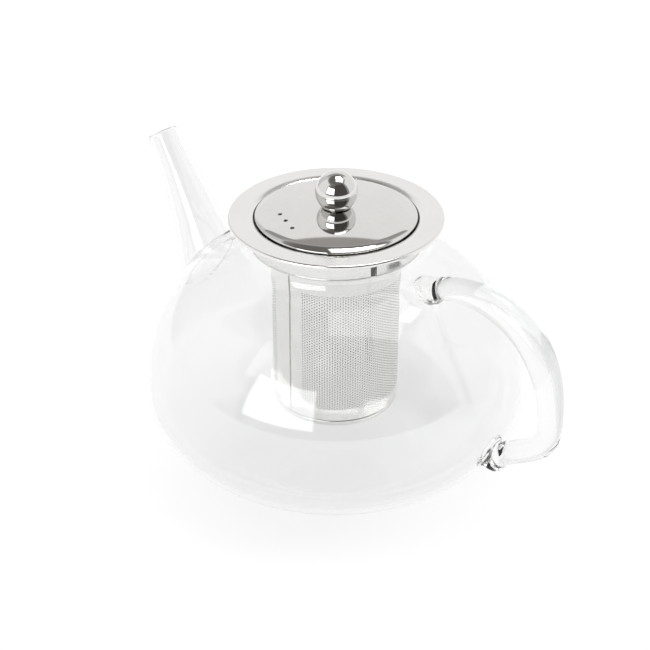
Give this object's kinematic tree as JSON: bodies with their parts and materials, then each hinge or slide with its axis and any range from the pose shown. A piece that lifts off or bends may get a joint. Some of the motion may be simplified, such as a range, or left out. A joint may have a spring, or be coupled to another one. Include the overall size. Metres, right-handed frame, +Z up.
{
  "type": "teapot",
  "caption": "Round blown glass teapot with a lift-out stainless infuser basket and a lift-off steel lid with a ball knob.",
  "frame": {"origin": "centre of the glass body's flat base, on the surface that the teapot stands on", "axes": "+Z up through the neck and knob, +X towards the handle, -X towards the spout, +Y to the back"},
  "size_m": [0.2167, 0.1676, 0.1363],
  "materials": {
    "clear_glass": "clear blown borosilicate, fire polished",
    "satin_steel": "satin spun stainless",
    "perforated_steel": "satin perforated stainless sheet",
    "polished_steel": "mirror-polished stainless"
  },
  "bodies": {
    "pot": {"glass_body": "clear_glass", "glass_spout": "clear_glass", "glass_handle": "clear_glass"},
    "infuser": {"infuser_collar": "satin_steel", "infuser_basket": "perforated_steel", "infuser_base": "perforated_steel"},
    "lid": {"lid_cap": "polished_steel", "knob_collar": "polished_steel", "knob_lower_shell": "polished_steel", "knob_upper_shell": "polished_steel", "knob_boss": "satin_steel", "knob_screw": "satin_steel", "lid_washer": "satin_steel"}
  },
  "joints": [
    {"name": "infuser_lift", "type": "slide", "parent": "pot", "child": "infuser", "axis": [0, 0, 1], "range_m": [0, 0.105]},
    {"name": "lid_lift", "type": "slide", "parent": "infuser", "child": "lid", "axis": [0, 0, 1], "range_m": [0, 0.045]}
  ]
}
